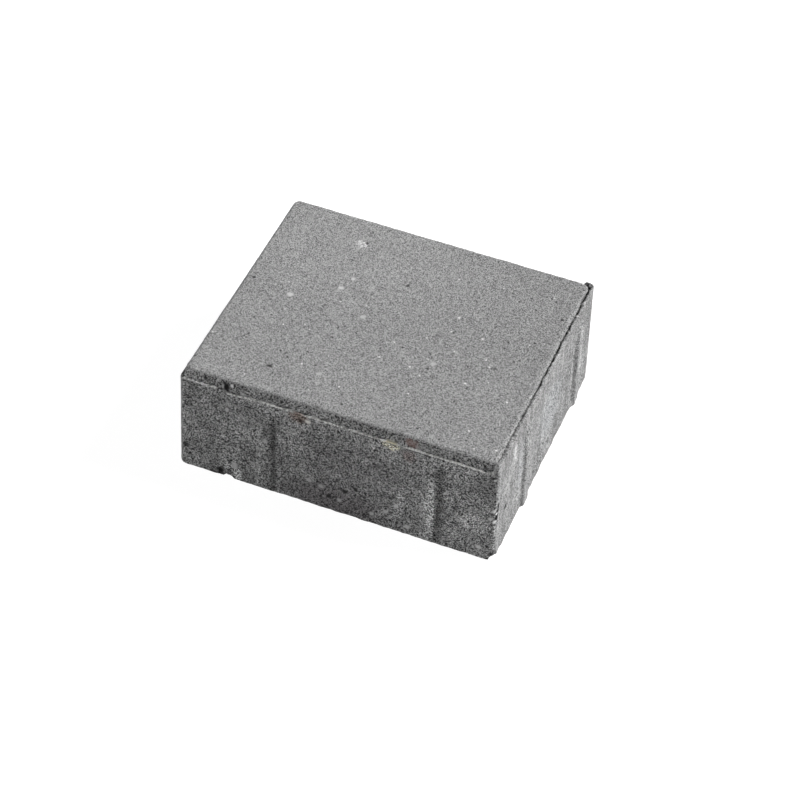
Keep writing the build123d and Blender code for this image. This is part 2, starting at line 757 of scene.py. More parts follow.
    def ring(self, stations: list[tuple[float, float]], grit: Grit) -> list[int]:
        """Add one loop of points.

        Args:
            stations: For each column, the distance outwards from the rim's outline and the level.
            grit: The relief depths there.

        Returns:
            The numbers of the points, in the columns' order.
        """
        loop = []
        for column, (out, level) in zip(self.columns, stations):
            x, y = column.place(out, self.bevel_run)
            loop.append(self.put(x, y, level, grit))
        return loop

    def sag(self, column: Column) -> float:
        """How far the foot of the bevel hangs down: only beside the break in the front lip."""
        if column.side is not Side.FRONT:
            return 0.0
        within = ramp(column.x, *self.sag_start) * (1.0 - ramp(column.x, *self.sag_end))
        return self.lip_sag * within

    def side_station(self, column: Column, level: float, tuck: float = 0.0) -> tuple[float, float]:
        """Place of a side's skin at a level, with its rib and a ragged foot."""
        level *= 1.0 - self.sag(column) / self.side_top
        out = self.lean(level) + self.rib(column, level) - tuck
        foot = ramp(self.foot_height - level, 0.0, self.foot_height)
        return out + foot * FOOT_EDGE.at(column, level), level

    def loops(self) -> list[tuple[list[int], Zone]]:
        """Lay all loops from the foot of the sides to the edge of the walking surface.

        Returns:
            The loops in order, each with the zone of the band that starts from it.
        """
        found = []
        for level, tuck in FOOT_LOOPS:
            stations = [self.side_station(c, level, tuck) for c in self.columns]
            found.append((self.ring(stations, FOOT_GRIT), Zone.SIDE))
        rise = self.side_top - self.plain_side
        count = round(rise / self.spacing)
        for step in range(count + 1):
            level = self.plain_side + rise * step / count
            stations = [self.side_station(c, level) for c in self.columns]
            found.append((self.ring(stations, SIDE_GRIT), Zone.SIDE))
        return found + self.burr_loops() + self.bevel_loops() + self.arris_loops()

    def burr_loops(self) -> list[tuple[list[int], Zone]]:
        """Lay the loops over the burr and down to the foot of the bevel."""
        edge = self.lean(self.side_top)
        found = []
        for inward, rise, slant, zone in BURR_LOOPS:
            stations = []
            for column in self.columns:
                lift = slant + (rise - slant) * self.stands(column)
                if inward == BURR_LOOPS[-1][0]:
                    lift = max(lift, self.filled(column))
                level = self.side_top - self.sag(column) + lift * self.burr(column)
                stations.append((edge - inward * self.lip(column), level))
            found.append((self.ring(stations, BURR_GRIT), zone))
        return found

    def bevel_loops(self) -> list[tuple[list[int], Zone]]:
        """Lay the loops from the foot of the bevel up to the arris."""
        edge = self.lean(self.side_top)
        top_out, top_level = -self.bevel_run, self.height - self.arris
        found = []
        for share in BEVEL_LOOPS:
            stations = []
            for column in self.columns:
                foot_out = edge - self.lip(column)
                packed = self.packed_share * self.filled(column) * self.burr(column)
                foot_level = self.side_top - self.sag(column) + self.bevel_step + packed
                foot_level = min(foot_level, top_level - self.least_bevel)
                out = foot_out + (top_out - foot_out + self.dip(column)) * share
                stations.append((out, foot_level + (top_level - foot_level) * share))
            found.append((self.ring(stations, BEVEL_GRIT), Zone.BEVEL))
        return found

    def arris_loops(self) -> list[tuple[list[int], Zone]]:
        """Lay the loops round the worn arris and in towards the walking surface's grid."""
        found = []
        for turn, zone in ARRIS_LOOPS:
            angle = math.radians(turn)
            out = -self.bevel_run - self.arris * (1 - math.cos(angle))
            level = self.height - self.arris * (1 - math.sin(angle))
            stations = [(out + self.dip(c) * math.cos(angle), level) for c in self.columns]
            found.append((self.ring(stations, ARRIS_GRIT), zone))
        edge = self.bevel_run + self.arris
        for share in WALKING_LOOPS:
            out = -edge - (self.corner_reach - edge) * share
            stations = [(out, self.height)] * len(self.columns)
            found.append((self.ring(stations, WALKING_GRIT), Zone.WALKING))
        return found

    @staticmethod
    def dip(column: Column) -> float:
        """How far the worn arris stands out of line at a column."""
        return sum(part.at(column) for part in ARRIS_DIP)

    def plate(self, level: float, grit: Grit) -> list[list[int]]:
        """Add the grid of points that fills the bedding face or the walking surface.

        Args:
            level: Height of the face.
            grit: The relief depths there.

        Returns:
            The points' numbers, by step along the length and then along the width.
        """
        run_x, run_y = self.half_length - self.corner_reach, self.half_width - self.corner_reach
        nx, ny = self.steps(Side.FRONT), self.steps(Side.RIGHT)
        grid = []
        for i in range(nx + 1):
            x = -run_x + 2 * run_x * i / nx
            ys = (-run_y + 2 * run_y * j / ny for j in range(ny + 1))
            grid.append([self.put(x, y, level, grit) for y in ys])
        return grid

    def border(self, grid: list[list[int]]) -> list[int]:
        """The grid's border points in the columns' order, a corner repeated along its rounding."""
        nx, ny = len(grid) - 1, len(grid[0]) - 1
        runs = (
            [grid[i][0] for i in range(nx + 1)],
            [grid[nx][j] for j in range(ny + 1)],
            [grid[i][ny] for i in range(nx, -1, -1)],
            [grid[0][j] for j in range(ny, -1, -1)],
        )
        found = []
        for run in runs:
            found += run + [run[-1]] * (self.corner_steps - 1)
        return found

    def face(self, corners: tuple[int, ...], zone: Zone) -> None:
        """Add a face, leaving out corners that coincide."""
        kept = tuple(dict.fromkeys(corners))
        if len(kept) > 2:
            self.faces.append(kept)
            self.face_zone.append(zone.value)

    @staticmethod
    def skin(column: Column, zone: Zone) -> Zone:
        """The zone that a band has at a column, by the side that the column stands on."""
        if abs(column.nx) > abs(column.ny):
            return Zone.DRAGGED if zone in (Zone.SIDE, Zone.LIP) else zone
        upright = zone is Zone.SIDE or (zone is Zone.BEVEL and column.straight)
        return Zone.REAR if upright and column.ny > 0.0 else zone

    def band(self, lower: list[int], upper: list[int], zone: Zone) -> None:
        """Close the band between two loops."""
        count = len(lower)
        for i in range(count):
            j = (i + 1) % count
            self.face((lower[i], lower[j], upper[j], upper[i]), self.skin(self.columns[i], zone))

    def weave(self) -> None:
        """Lay all points and faces of the closed skin."""
        under = self.plate(0.0, BEDDING_GRIT)
        loops = self.loops()
        upper = self.plate(self.height, WALKING_GRIT)
        self.band(self.border(under), loops[0][0], Zone.BEDDING)
        for (lower, zone), (higher, _) in zip(loops, loops[1:]):
            self.band(lower, higher, zone)
        self.band(loops[-1][0], self.border(upper), Zone.WALKING)
        for grid, zone in ((under, Zone.BEDDING), (upper, Zone.WALKING)):
            for i in range(len(grid) - 1):
                for j in range(len(grid[0]) - 1):
                    ring = (grid[i][j], grid[i + 1][j], grid[i + 1][j + 1], grid[i][j + 1])
                    self.face(ring if zone is Zone.WALKING else ring[::-1], zone)

    def bitten(self) -> np.ndarray:
        """Break the hollows out of the laid points.

        Returns:
            The points' places, in millimetres.
        """
        places = np.array(self.points)
        for bite in self.bites:
            inward = np.array(Vector(bite.inward).normalized())
            offset = places - np.array(bite.centre)
            near = np.linalg.norm(offset, axis=1) < bite.radius * LUMP_MARGIN
            for index in np.nonzero(near)[0]:
                along = float(offset[index] @ inward)
                spare = bite.reach(*places[index]) ** 2 - float(offset[index] @ offset[index])
                if spare > 0.0:
                    places[index] += inward * (math.sqrt(along * along + spare) - along)
        places[:, 2] = np.maximum(places[:, 2], 0.0)
        return places

    def build(self, finishes: dict[Zone, Material], relief: SkinRelief) -> bpy.types.Object:
        """Make the stone's object.

        Args:
            finishes: Material of each zone of the skin.
            relief: The roughening of the skin.

        Returns:
            The finished object, at the origin, in metres.
        """
        self.weave()
        mesh = bpy.data.meshes.new("stone_body")
        mesh.from_pydata((self.bitten() * MM).tolist(), [], self.faces)
        for name in ("grain", "pore"):
            depths = mesh.attributes.new(f"{name}_depth", "FLOAT", "POINT")
            depths.data.foreach_set("value", [getattr(grit, name) for grit in self.grits])
        zones = mesh.attributes.new("zone", "FLOAT", "FACE")
        zones.data.foreach_set("value", [float(z) for z in self.face_zone])
        mesh.polygons.foreach_set("use_smooth", [True] * len(mesh.polygons))
        body = bpy.data.objects.new("stone_body", mesh)
        bpy.context.collection.objects.link(body)
        relief.apply(body, finishes)
        return body


class ShaderGroups:
    """Node groups for the effects that the concrete finishes share."""

    def __init__(self) -> None:
        """Build every group once."""
        self.sand = self.sand_group()
        self.clouds = self.cloud_group()
        self.specks = self.speck_group()
        self.spot = self.spot_group()

    @staticmethod
    def start(
        name: str, outputs: tuple[str, ...], **inputs: float | Triple
    ) -> tuple[Wiring, bpy.types.NodeOutputs]:
        """Open a group that is given the place and some values.

        Args:
            name: The group's name.
            outputs: Names of the value outputs.
            inputs: Default of each value, by name.

        Returns:
            The wiring of the new group, and the sockets of what it is given.
        """
        group = bpy.data.node_groups.new(name, "ShaderNodeTree")
        face = group.interface
        face.new_socket("Place", in_out="INPUT", socket_type="NodeSocketVector")
        for label, default in inputs.items():
            kind = "NodeSocketVector" if isinstance(default, tuple) else "NodeSocketFloat"
            face.new_socket(label, in_out="INPUT", socket_type=kind).default_value = default
        for label in outputs:
            face.new_socket(label, in_out="OUTPUT", socket_type="NodeSocketFloat")
        wires = Wiring(group)
        return wires, wires.add("NodeGroupInput").outputs

    def sand_group(self) -> Tree:
        """Sand in cement: grains of differing shade, and their height for the bump."""
        wires, given = self.start("sand_in_cement", ("Shade", "Height"), Grain=1.2, Contrast=0.5)
        grit_size, grit_share, darkest, dome_share = 1.4, 0.4, 0.06, 0.35
        distance, tone = wires.cells(given["Place"], given["Grain"])
        lumps = wires.math("MULTIPLY", given["Grain"], grit_size)
        grit = wires.noise(given["Place"], lumps, detail=3.0, rough=0.7)
        mixed = wires.math("MULTIPLY_ADD", grit, grit_share, tone[0])
        centred = wires.math("SUBTRACT", mixed, 0.5)
        shade = wires.math("MULTIPLY_ADD", centred, given["Contrast"], 1.0)
        out = wires.add("NodeGroupOutput").inputs
        wires.join(wires.math("MAXIMUM", shade, darkest), out["Shade"])
        dome = wires.math("SUBTRACT", 1.0, distance)
        wires.join(wires.math("MULTIPLY_ADD", dome, dome_share, grit), out["Height"])
        return wires.tree

    def cloud_group(self) -> Tree:
        """Broad uneven tone, as from uneven moisture; the place may be stretched beforehand."""
        wires, given = self.start("uneven_tone", ("Shade",), Size=40.0, Contrast=0.2)
        tone = wires.noise(given["Place"], given["Size"], detail=3.0, rough=0.55)
        shade = wires.math("MULTIPLY_ADD", tone, given["Contrast"], 1.0)
        wires.join(shade, wires.add("NodeGroupOutput").inputs["Shade"])
        return wires.tree

    def speck_group(self) -> Tree:
        """Scattered single grains or pores: a mask that is 1 inside each of them."""
        wires, given = self.start("scattered_specks", ("Mask",), Spacing=6.0, Share=0.2, Largest=0.25)
        bends, shake, smallest = 0.6, 1.6, 0.35
        bent = wires.add("ShaderNodeTexNoise")
        bent.inputs["Scale"].default_value = bends
        wires.join(given["Place"], bent.inputs["Vector"])
        shaken = wires.vector("MULTIPLY_ADD", bent.outputs["Color"], (shake,) * 3, given["Place"])
        distance, lottery = wires.cells(shaken, given["Spacing"])
        chosen = wires.math("LESS_THAN", lottery[0], given["Share"])
        share = wires.fit(lottery[1], 0.0, 1.0, smallest, 1.0)
        edge = wires.math("DIVIDE", distance, wires.math("MULTIPLY", given["Largest"], share))
        mask = wires.math("MULTIPLY", wires.fit(edge, 1.0, 0.6, 0.0, 1.0, smooth=True), chosen)
        wires.join(mask, wires.add("NodeGroupOutput").inputs["Mask"])
        return wires.tree

    def spot_group(self) -> Tree:
        """One ragged spot at a given place: a mask that fades from its middle to its edge."""
        middle, unit = (0.0, 0.0, 0.0), (1.0, 1.0, 1.0)
        wires, given = self.start("ragged_spot", ("Mask",), Centre=middle, Reach=unit, Ragged=0.5)
        away = wires.vector("SUBTRACT", given["Place"], given["Centre"])
        away = wires.vector("LENGTH", wires.vector("DIVIDE", away, given["Reach"]))
        lumps = wires.noise(given["Place"], size=3.2, detail=3.0, rough=0.65)
        edge = wires.math("MULTIPLY_ADD", lumps, given["Ragged"], away)
        mask = wires.fit(edge, 1.0, 0.35, 0.0, 1.0, smooth=True)
        wires.join(mask, wires.add("NodeGroupOutput").inputs["Mask"])
        return wires.tree


@dataclass(frozen=True)
class ConcreteFinish:
    """One way that the concrete's skin looks.

    Attributes:
        name: Name of the material.
        tone: Linear base colour.
        grain: Size of the sand grains that show, in millimetres.
        grain_contrast: How much the grains differ in shade.
        cloud_size, cloud_contrast: Broad uneven tone.
        streak_contrast: Upright drag streaks left by the mould, 0 for none.
        pale_share, dark_share: Shares of scattered pale grains and dark pores.
        bump: Strength of the fine relief in the shading.
        marks: Single spots of another tint.
        patch_size, patch_share: Small uneven tone, and its contrast beside the broad one's.
        streak_width, streak_pull: Width of the streaks, and the share that they are drawn out by.
        bump_depth: Depth of the fine relief, in millimetres.
        roughness, gloss: How dull the skin is, and how strongly it mirrors.
    """

    name: str
    tone: Triple
    grain: float
    grain_contrast: float
    cloud_size: float
    cloud_contrast: float
    streak_contrast: float
    pale_share: float
    dark_share: float
    bump: float
    marks: tuple[Mark, ...] = ()
    patch_size: float = 7.0
    patch_share: float = 0.5
    streak_width: float = 3.4
    streak_pull: float = 0.06
    bump_depth: float = 0.5
    roughness: float = 0.92
    gloss: float = 0.25

    def material(self, groups: ShaderGroups) -> Material:
        """Build the material.

        Args:
            groups: The shared effects.

        Returns:
            The finished material.
        """
        material = bpy.data.materials.new(self.name)
        wires = Wiring.bare(material)
        spot = wires.add("ShaderNodeTexCoord").outputs["Object"]
        place = wires.vector("SCALE", spot, 1.0 / MM)
        sand = wires.effect(groups.sand, Place=place, Grain=self.grain, Contrast=self.grain_contrast)
        drawn = wires.vector("MULTIPLY", place, (1.0, 1.0, self.streak_pull))
        shade = sand["Shade"]
        for where, size, contrast in (
            (place, self.cloud_size, self.cloud_contrast),
            (place, self.patch_size, self.patch_share * self.cloud_contrast),
            (drawn, self.streak_width, self.streak_contrast),
        ):
            if contrast:
                cloud = wires.effect(groups.clouds, Place=where, Size=size, Contrast=contrast)
                shade = wires.math("MULTIPLY", shade, cloud["Shade"])
        colour = wires.vector("SCALE", self.tone, shade)
        for speck, share in ((PALE_GRAINS, self.pale_share), (DARK_PORES, self.dark_share)):
            colour = speck.scatter(wires, groups, place, share, self.tone, colour)
        for mark in self.marks:
            colour = mark.lay(wires, groups, place, sand["Shade"], colour)
        bump = wires.add("ShaderNodeBump")
        bump.inputs["Strength"].default_value = self.bump
        bump.inputs["Distance"].default_value = self.bump_depth * MM
        wires.join(sand["Height"], bump.inputs["Height"])
        skin = wires.add("ShaderNodeBsdfPrincipled")
        skin.inputs["Roughness"].default_value = self.roughness
        skin.inputs["Specular IOR Level"].default_value = self.gloss
        wires.join(colour, skin.inputs["Base Color"])
        wires.join(bump.outputs[0], skin.inputs["Normal"])
        wires.join(skin.outputs[0], wires.add("ShaderNodeOutputMaterial").inputs["Surface"])
        return material


@dataclass(frozen=True)
class Lamp:
    """A broad, even light, given by the light that it lays on a face turned towards it.

    Attributes:
        name: Name of the lamp.
        towards: Direction from the stone to the lamp.
        level: Light on a face turned towards it, where 1 shows a colour as it is written.
        softness: Apparent width of the lamp, in degrees.
    """

    name: str
    towards: Triple
    level: float
    softness: float

    def place(self) -> None:
        """Add the lamp to the scene."""
        data = bpy.data.lights.new(self.name, "SUN")
        data.energy = self.level * math.pi
        data.angle = math.radians(self.softness)
        lamp = bpy.data.objects.new(self.name, data)
        lamp.rotation_euler = Vector(self.towards).to_track_quat("Z", "Y").to_euler()
        bpy.context.collection.objects.link(lamp)


@dataclass
class Studio:
    """Camera, lamps and white floor around the stone.

    Attributes:
        azimuth, elevation, roll: The camera's direction from the stone, in degrees.
        distance: Distance from the foot of the front side, in metres.
        slide, rise: Shift of the camera to its own right and upwards, in metres.
        lens, sensor: Focal length and width of the sensor, in millimetres.
        ambient: Level of the even light from all round.
        floor_reach: Half the width of the floor, in metres.
        floor_tone: How much light the floor gives back to the stone.
        floor_glow: Light added to the floor as the camera sees it.
        floor_gap: How far the floor lies under the bedding face, in metres.
        lamps: The lamps.
    """

    azimuth: float = 19.828
    elevation: float = 45.271
    roll: float = 2.804
    distance: float = 1.58983
    slide: float = 0.040142
    rise: float = 0.066734
    lens: float = 117.41
    sensor: float = 36.0
    ambient: float = 0.14
    floor_reach: float = 6.0
    floor_tone: float = 0.4
    floor_glow: float = 0.9
    floor_gap: float = 0.00002
    lamps: tuple[Lamp, ...] = (
        Lamp("key_lamp", (0.80, 0.48, 0.60), 1.30, 30.0),
        Lamp("left_fill", (-0.82, -0.47, 0.33), 0.36, 40.0),
        Lamp("under_fill", (0.2, -0.3, -0.93), 0.5, 40.0),
    )

    def aim_camera(self, front: float) -> None:
        """Set the camera up.

        Args:
            front: Place of the front rim along Y, in metres.
        """
        az, el, turn = (math.radians(a) for a in (self.azimuth, self.elevation, self.roll))
        back = Vector((math.sin(az) * math.cos(el), -math.cos(az) * math.cos(el), math.sin(el)))
        level = Vector((0.0, 0.0, 1.0)).cross(back).normalized()
        upright = back.cross(level)
        right = level * math.cos(turn) + upright * math.sin(turn)
        up = upright * math.cos(turn) - level * math.sin(turn)
        eye = Vector((0.0, front, 0.0)) + back * self.distance + right * self.slide + up * self.rise
        data = bpy.data.cameras.new("photo_camera")
        data.lens = self.lens
        data.sensor_width = self.sensor
        camera = bpy.data.objects.new("photo_camera", data)
        turned = Matrix((right, up, back)).transposed().to_4x4()
        camera.matrix_world = Matrix.Translation(eye) @ turned
        bpy.context.collection.objects.link(camera)
        bpy.context.scene.camera = camera

    def lay_floor(self) -> bpy.types.Object:
        """Lay the white floor, which is clear as seen from below and to light on the bedding face.

        Returns:
            The floor's object, which isn't part of the stone.
        """
        reach = self.floor_reach
        plan = ((-reach, -reach), (reach, -reach), (reach, reach), (-reach, reach))
        mesh = bpy.data.meshes.new("studio_floor")
        mesh.from_pydata([(x, y, -self.floor_gap) for x, y in plan], [], [(0, 1, 2, 3)])
        floor = bpy.data.objects.new("studio_floor", mesh)
        bpy.context.collection.objects.link(floor)
        material = bpy.data.materials.new("white_floor")
        wires = Wiring.bare(material)
        matt = wires.add("ShaderNodeBsdfDiffuse")
        matt.inputs["Color"].default_value = (*grey(self.floor_tone), 1.0)
        glow = wires.add("ShaderNodeEmission")
        seen = self.seen_directly(wires)
        wires.join(wires.math("MULTIPLY", seen, self.floor_glow), glow.inputs["Strength"])
        both = wires.add("ShaderNodeAddShader")
        wires.join(matt.outputs[0], both.inputs[0])
        wires.join(glow.outputs[0], both.inputs[1])
        close = wires.math("LESS_THAN", wires.add("ShaderNodeLightPath").outputs["Ray Length"], MM)
        behind = wires.add("ShaderNodeNewGeometry").outputs["Backfacing"]
        pane = wires.add("ShaderNodeMixShader")
        wires.join(wires.math("MAXIMUM", close, behind), pane.inputs[0])
        wires.join(both.outputs[0], pane.inputs[1])
        wires.join(wires.add("ShaderNodeBsdfTransparent").outputs[0], pane.inputs[2])
        wires.join(pane.outputs[0], wires.add("ShaderNodeOutputMaterial").inputs["Surface"])
        mesh.materials.append(material)
        return floor

    @staticmethod
    def seen_directly(wires: Wiring) -> Socket:
        """1 for what the camera sees, also in a gloss or through glass, and 0 for other light."""
        rays = wires.add("ShaderNodeLightPath").outputs
        seen = wires.math("ADD", rays["Is Camera Ray"], rays["Is Glossy Ray"])
        return wires.math("ADD", seen, rays["Is Transmission Ray"], clamp=True)

    def light(self) -> None:
        """Add the lamps, the even light from all round and the white backdrop."""
        for lamp in self.lamps:
            lamp.place()
        world = bpy.data.worlds.new("studio_world")
        wires = Wiring.bare(world)
        sky = wires.add("ShaderNodeBackground")
        strength = wires.fit(self.seen_directly(wires), 0.0, 1.0, self.ambient, 1.0)
        wires.join(strength, sky.inputs["Strength"])
        wires.join(sky.outputs[0], wires.add("ShaderNodeOutputWorld").inputs["Surface"])
        bpy.context.scene.world = world
        bpy.context.scene.view_settings.view_transform = "Standard"


BITES = (
    Bite((-70.2, -90.0, 0.0), 4.2, (0.1, 0.85, 0.5)),
    Bite((-75.3, -89.4, 3.2), 3.4, (0.0, 1.0, 0.1)),
    Bite((-104.5, -90.5, -1.5), 5.0, (0.6, 0.6, 0.5)),
    Bite((105.0, -90.5, 0.5), 5.8, (-0.6, 0.6, 0.5)),
    Bite((105.0, -85.6, -1.2), 4.8, (-0.8, 0.2, 0.6)),
    Bite((92.0, -90.2, 0.0), 2.9, (0.0, 0.85, 0.5)),
    Bite((97.5, -90.0, -0.5), 2.9, (0.0, 0.85, 0.5)),
    Bite((-71.7, -86.4, 75.0), 2.7, (0.0, 1.0, -0.1)),
    Bite((-75.0, -88.0, 73.0), 2.4, (0.0, 1.0, 0.0)),
    Bite((8.0, 84.6, 81.2), 2.6, (0.0, -0.7, -0.7)),
    Bite((103.7, -83.4, 45.4), 1.6, (-1.0, 0.2, 0.0)),
    Bite((103.7, -84.4, 41.0), 1.8, (-1.0, 0.2, 0.0)),
    Bite((103.6, -85.0, 37.2), 1.6, (-1.0, 0.2, 0.0)),
)
# Marks round the front right edge: the black ones over the broken-out pits are painted shade in those
# hollows; the others are pale grains and dark spots
EDGE_PIT_SHADE_AND_GRAINS = (
    Mark((102.7, -82.9, 45.4), (2.6, 2.3, 3.2), grey(0.01), 1.0, 0.5),
    Mark((102.7, -83.8, 41.0), (2.6, 3.0, 2.9), grey(0.01), 1.0, 0.4),
    Mark((102.7, -84.3, 37.6), (2.6, 2.3, 2.6), grey(0.01), 1.0, 0.5),
    Mark((102.7, -85.0, 34.9), (2.6, 2.2, 2.3), grey(0.01), 1.0, 0.5),
    Mark((101.5, -86.6, 42.5), (2.2, 2.2, 2.3), grey(0.95), 1.0, 0.3),
    Mark((102.1, -86.0, 33.2), (2.2, 2.2, 2.0), grey(0.95), 1.0, 0.3),
    Mark((100.0, -87.2, 36.1), (2.0, 2.4, 2.0), grey(0.85), 0.95, 0.3),
    Mark((102.5, -84.6, 39.5), (1.5, 1.5, 1.2), grey(0.9), 0.95, 0.3),
    Mark((102.9, -69.5, 31.0), (2.6, 3.0, 2.9), grey(0.01), 1.0, 1.0),
    Mark((103.2, -57.1, 13.2), (3.0, 1.4, 5.6), grey(0.08), 0.75, 0.8),
    Mark((103.4, -82.7, 3.5), (2.0, 1.9, 1.9), grey(0.03), 0.9, 0.8),
    Mark((102.4, -87.0, 5.5), (2.4, 2.4, 2.6), grey(0.03), 0.9, 1.0),
    Mark((98.8, -88.0, 0.8), (2.4, 3.0, 2.0), grey(0.03), 0.9, 0.6),
    Mark((99.0, -87.8, 12.1), (1.6, 3.0, 1.7), grey(0.02), 0.9, 0.6),
    Mark((99.6, -86.7, 70.0), (1.8, 2.6, 1.8), grey(0.01), 1.0, 0.4),
    Mark((100.3, -86.7, 68.8), (1.3, 2.6, 1.4), grey(0.9), 0.95, 0.3),
)
# Painted shade: near-black in the gap between the tall burr and the walking surface at the back right
# corner
CORNER_GAP_SHADE = Mark((100.6, 84.6, 76.0), (6.0, 5.0, 7.0), grey(0.02), 0.95, 0.8)
WALKING_MARKS = (
    Mark((-50.0, 62.0, 80.0), (110.0, 80.0, 6.0), grey(0.37), 0.6, 0.2),
    Mark((96.0, 5.0, 80.0), (12.0, 60.0, 4.0), grey(0.24), 0.25, 1.0),
    Mark((-44.4, 60.6, 80.0), (6.0, 4.6, 3.0), grey(0.6), 0.85, 0.8),
    Mark((-41.5, 62.7, 80.0), (1.4, 1.8, 3.0), grey(0.05), 0.9),
    Mark((-67.4, 0.2, 80.0), (3.0, 2.6, 3.0), grey(0.68), 0.9, 1.2),
    Mark((-40.8, 18.0, 80.0), (2.4, 2.0, 3.0), grey(0.68), 0.9, 1.0),
    Mark((-37.1, 28.6, 80.0), (1.9, 1.8, 3.0), grey(0.68), 0.85, 1.0),
    Mark((-18.5, -0.6, 80.0), (2.6, 2.2, 3.0), grey(0.58), 0.85, 1.0),
    Mark((35.6, -21.4, 80.0), (2.8, 2.4, 3.0), grey(0.58), 0.8, 1.0),
    Mark((-23.7, -56.9, 80.0), (2.2, 2.0, 3.0), grey(0.56), 0.8, 1.0),
    Mark((-93.9, 5.3, 80.0), (1.8, 1.5, 3.0), grey(0.04), 0.95, 1.2),
    Mark((-53.2, -62.5, 80.0), (2.9, 1.4, 3.0), grey(0.04), 0.95, 1.2),
    Mark((-3.6, 36.5, 80.0), (1.5, 1.6, 3.0), grey(0.05), 0.9, 1.2),
    Mark((94.1, 46.4, 80.0), (1.8, 1.5, 3.0), grey(0.04), 0.95, 1.2),
)
SIDE_MARKS = (
    Mark((8.0, -87.0, 40.0), (48.0, 4.0, 34.0), (0.18, 0.175, 0.18), 0.4, 1.4),
    Mark((0.0, -87.5, 8.0), (44.0, 4.0, 20.0), (0.145, 0.135, 0.14), 0.75, 0.8),
    Mark((96.6, -86.9, 60.0), (10.0, 4.0, 15.0), grey(0.13), 0.45, 1.0),
    Mark((88.0, -87.5, 28.8), (11.0, 4.0, 9.0), grey(0.62), 0.55, 0.9),
    Mark((43.0, -87.5, 26.0), (2.8, 4.0, 22.0), grey(0.55), 0.5, 0.8),
    Mark((-24.0, -86.7, 70.4), (9.0, 4.0, 6.4), (0.2, 0.145, 0.12), 0.7, 1.1),
    Mark((-22.4, -86.7, 68.4), (2.4, 4.0, 2.2), (0.03, 0.02, 0.018), 0.85, 0.8),
    Mark((-17.9, -86.7, 69.3), (2.8, 3.0, 2.0), (0.95, 0.94, 0.9), 0.95),
    Mark((31.5, -86.6, 71.2), (3.4, 3.0, 2.9), (0.7, 0.68, 0.56), 0.8, 1.2),
    Mark((35.4, -86.6, 69.8), (3.6, 3.0, 3.2), (0.7, 0.68, 0.56), 0.8, 1.2),
    Mark((38.8, -86.6, 70.8), (3.0, 3.0, 2.8), (0.7, 0.68, 0.56), 0.8, 1.2),
    Mark((-41.8, -87.5, 32.0), (6.0, 4.0, 40.0), grey(0.1), 0.4, 1.2),
    # Painted shade on the right flank of the left front rib, and a painted highlight at its left flank
    Mark((-39.2, -87.5, 32.0), (2.2, 4.0, 36.0), grey(0.08), 0.35, 1.2),
    Mark((-47.5, -88.5, 26.0), (3.4, 4.0, 30.0), grey(0.45), 0.3, 1.2),
    # Painted shade at the right foot of the right front rib
    Mark((67.8, -87.5, 33.0), (3.4, 4.0, 38.0), grey(0.08), 0.42, 1.2),
    Mark((66.5, -87.2, 61.0), (5.0, 4.0, 7.0), grey(0.1), 0.45, 1.1),
    Mark((61.8, -88.5, 28.0), (5.0, 4.0, 36.0), grey(0.7), 0.6, 1.2),
    Mark((-63.8, -87.9, 5.6), (3.8, 4.0, 7.4), grey(0.78), 0.8, 1.0),
    Mark((-65.8, -87.8, 12.4), (2.6, 4.0, 4.5), grey(0.75), 0.75, 1.0),
    Mark((-70.5, -87.8, 10.0), (4.0, 4.0, 3.0), grey(0.6), 0.6, 1.0),
    Mark((-70.2, -87.0, 5.4), (4.6, 5.0, 4.2), grey(0.17), 0.8, 0.4),
    # Painted shade: black in the hollow of the chip at the foot of the front
    Mark((-75.3, -88.0, 3.4), (3.6, 5.0, 6.0), grey(0.01), 1.0, 0.5),
    Mark((-79.9, -88.0, 1.2), (3.0, 4.0, 2.4), grey(0.03), 0.9, 0.6),
    Mark((-77.9, -88.0, 2.3), (1.2, 4.0, 1.6), grey(0.6), 0.8, 0.4),
    Mark((-66.8, -88.0, 1.8), (1.6, 4.0, 1.8), grey(0.02), 0.95, 0.3),
    Mark((46.5, -86.8, 67.0), (6.0, 3.0, 6.0), (0.3, 0.19, 0.17), 0.25, 1.4),
    Mark((40.3, -87.6, 22.0), (2.6, 4.0, 2.6), grey(0.85), 0.9, 0.8),
    Mark((48.0, -87.8, 7.0), (2.3, 4.0, 2.6), grey(0.8), 0.9, 0.8),
    Mark((33.5, -87.7, 14.0), (2.2, 4.0, 2.3), grey(0.7), 0.9, 0.8),
    Mark((25.0, -87.7, 8.5), (2.2, 4.0, 2.2), grey(0.7), 0.9, 0.8),
    Mark((93.7, -87.8, 9.4), (2.6, 4.0, 2.4), grey(0.8), 0.9, 0.8),
    Mark((-44.9, -87.2, 43.0), (2.3, 4.0, 2.4), grey(0.65), 0.85, 0.8),
    Mark((-16.4, -87.6, 20.4), (2.4, 4.0, 2.4), grey(0.65), 0.85, 0.8),
    Mark((-70.6, -86.9, 58.0), (1.9, 4.0, 2.5), grey(0.7), 0.85, 0.8),
    Mark((3.5, -87.8, 11.4), (2.4, 4.0, 2.4), grey(0.65), 0.85, 0.8),
    Mark((-8.5, -87.7, 18.6), (2.4, 4.0, 2.2), grey(0.6), 0.85, 0.8),
    Mark((7.0, -87.6, 20.0), (2.5, 4.0, 2.6), grey(0.02), 0.95, 1.0),
    Mark((-3.0, -87.7, 12.0), (2.6, 4.0, 2.2), grey(0.02), 0.95, 1.0),
    Mark((14.0, -87.6, 25.0), (2.3, 4.0, 2.4), grey(0.03), 0.95, 1.0),
    Mark((-98.4, -87.7, 17.9), (3.2, 4.0, 3.2), grey(0.03), 0.9, 1.2),
    *EDGE_PIT_SHADE_AND_GRAINS,
)
